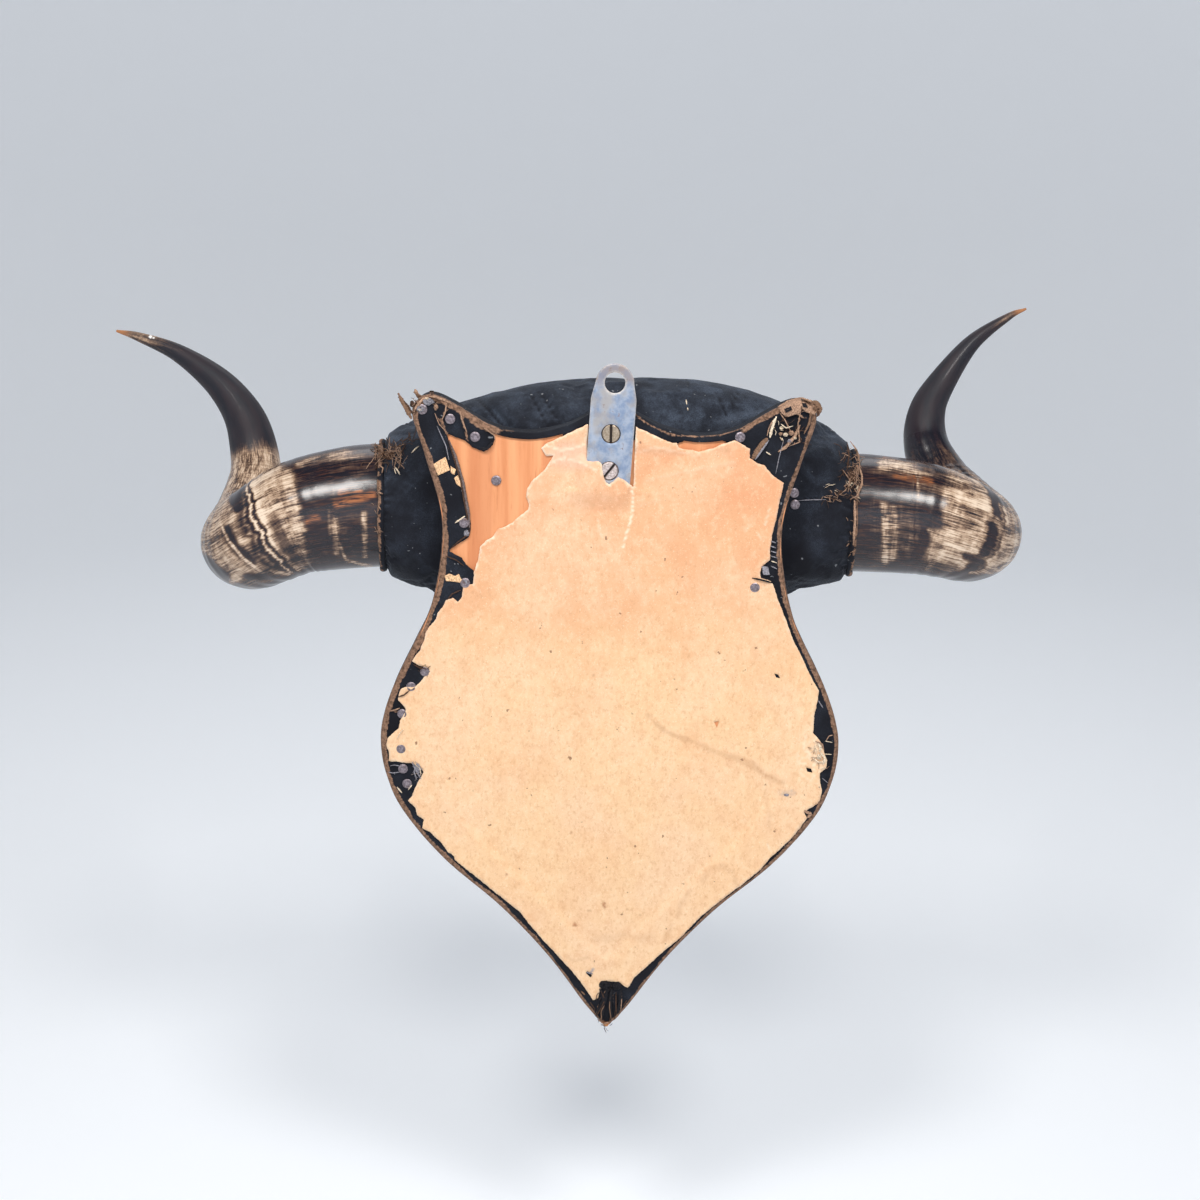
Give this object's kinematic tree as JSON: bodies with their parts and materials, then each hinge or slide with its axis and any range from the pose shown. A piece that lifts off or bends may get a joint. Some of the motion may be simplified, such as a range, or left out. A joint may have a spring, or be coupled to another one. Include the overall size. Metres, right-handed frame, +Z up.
{
  "type": "mounted steer horns",
  "caption": "Curved steer horns on a padded velvet centre, fixed to a shield-shaped velvet-covered wall plaque with a paper-backed wooden board and a steel hanger.",
  "frame": {"origin": "centre of the hanger's hanging hole, on the plane where the hanger's back touches the wall", "axes": "+Z up, +Y away from the wall to the front of the plaque, +X to the right as seen from the back, along the span of the horns"},
  "size_m": [0.6087, 0.184, 0.4373],
  "materials": {
    "board_wood": "bare sawn softwood, orange brown, vertical grain",
    "black_velvet": "worn black velvet, dusty, pile rubbed brown along edges",
    "kraft_paper": "aged tan backing paper, torn and stained",
    "hanger_steel": "dull blue grey steel, handled",
    "screw_steel": "tarnished slotted screws",
    "nail_steel": "dull grey tack heads",
    "cuff_trim": "frayed brown thread trim",
    "steer_horn": "polished natural horn, black with cream and tan growth bands"
  },
  "bodies": {
    "root": {"shield_board": "board_wood", "velvet_cover": "black_velvet", "backing_paper": "kraft_paper", "hanger_plate": "hanger_steel", "screw_upper": "screw_steel", "screw_lower": "screw_steel", "velvet_boss": "black_velvet", "cuff_braid_left": "cuff_trim", "cuff_braid_right": "cuff_trim", "horn_left": "steer_horn", "horn_right": "steer_horn", "nail_01": "nail_steel", "nail_02": "nail_steel", "nail_03": "nail_steel", "nail_04": "nail_steel", "nail_05": "nail_steel", "nail_06": "nail_steel", "nail_07": "nail_steel", "nail_08": "nail_steel", "nail_09": "nail_steel", "nail_10": "nail_steel", "nail_11": "nail_steel", "nail_12": "nail_steel", "nail_13": "nail_steel", "nail_14": "nail_steel", "nail_15": "nail_steel", "nail_16": "nail_steel"}
  },
  "joints": []
}
